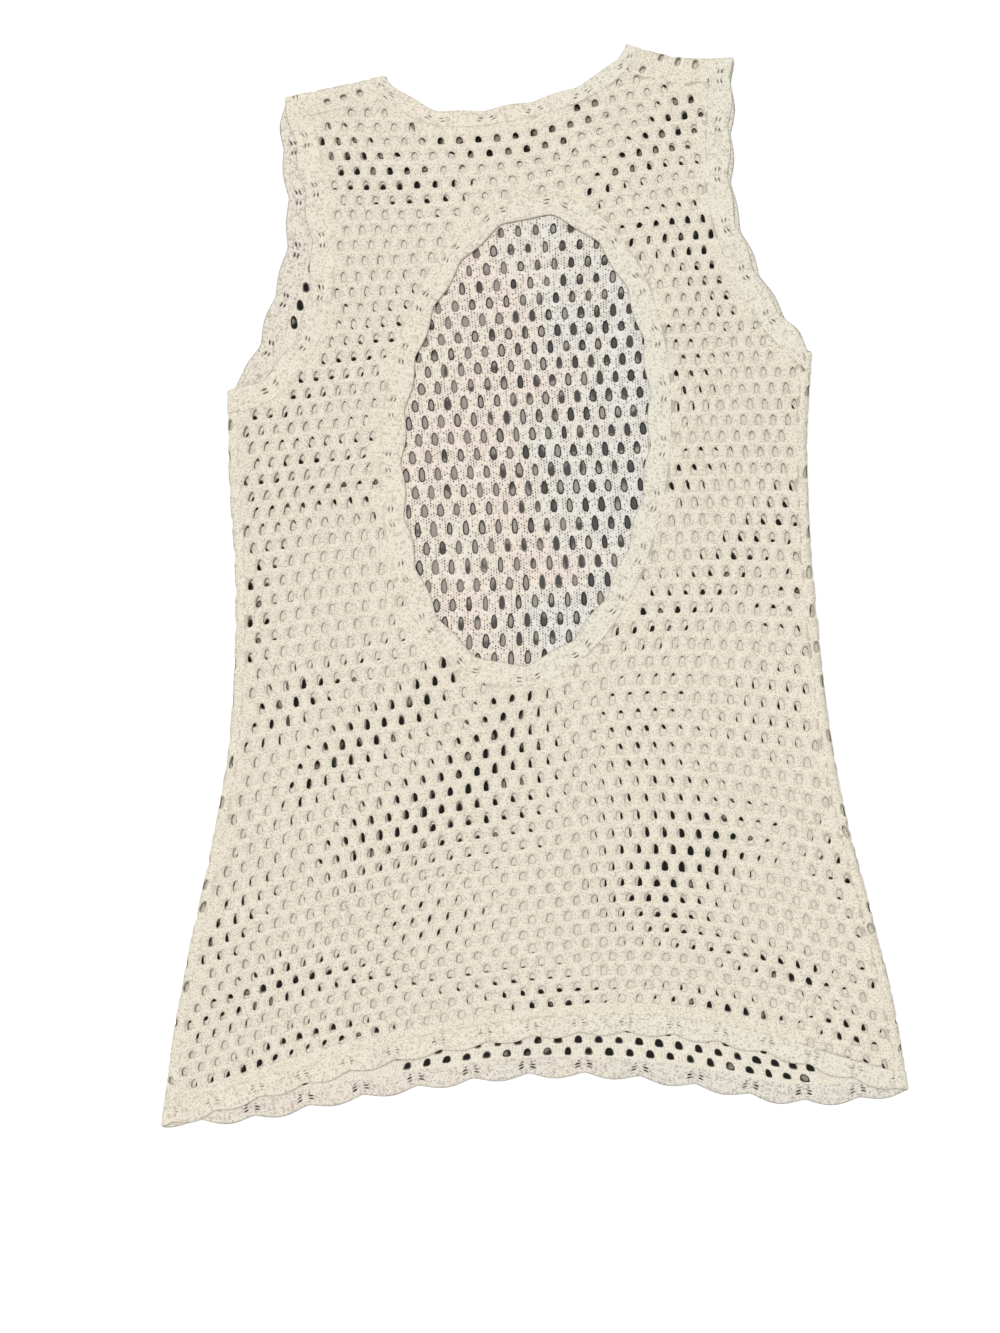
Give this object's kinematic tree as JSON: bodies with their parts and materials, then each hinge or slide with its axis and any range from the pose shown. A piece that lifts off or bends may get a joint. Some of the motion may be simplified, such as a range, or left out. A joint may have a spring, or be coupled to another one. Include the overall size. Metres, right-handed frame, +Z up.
{
  "type": "crochet-look knitted top",
  "caption": "Sleeveless openwork knitted top with a round neck, scalloped edges and an oval open back, laid flat with its back upwards.",
  "frame": {"origin": "under the middle of the outline, on the surface that the garment lies on", "axes": "+Z up out of the surface, +Y from the hem to the shoulders, +X to the right of someone who looks down on the back"},
  "size_m": [0.5084, 0.7367, 0.0064],
  "materials": {
    "back_panel": "matt openwork cotton knit",
    "front_panel": "matt openwork cotton knit, seen from its inside",
    "cutout_edging": "matt close cotton knit",
    "neck_edging": "matt close cotton knit",
    "armhole_edging_left": "matt close cotton knit",
    "armhole_edging_right": "matt close cotton knit",
    "hem_edging_back": "matt close cotton knit",
    "hem_edging_front": "matt close cotton knit"
  },
  "bodies": {
    "root": {"back_panel": "back_panel", "front_panel": "front_panel", "cutout_edging": "cutout_edging", "neck_edging": "neck_edging", "armhole_edging_left": "armhole_edging_left", "armhole_edging_right": "armhole_edging_right", "hem_edging_back": "hem_edging_back", "hem_edging_front": "hem_edging_front"}
  },
  "joints": []
}
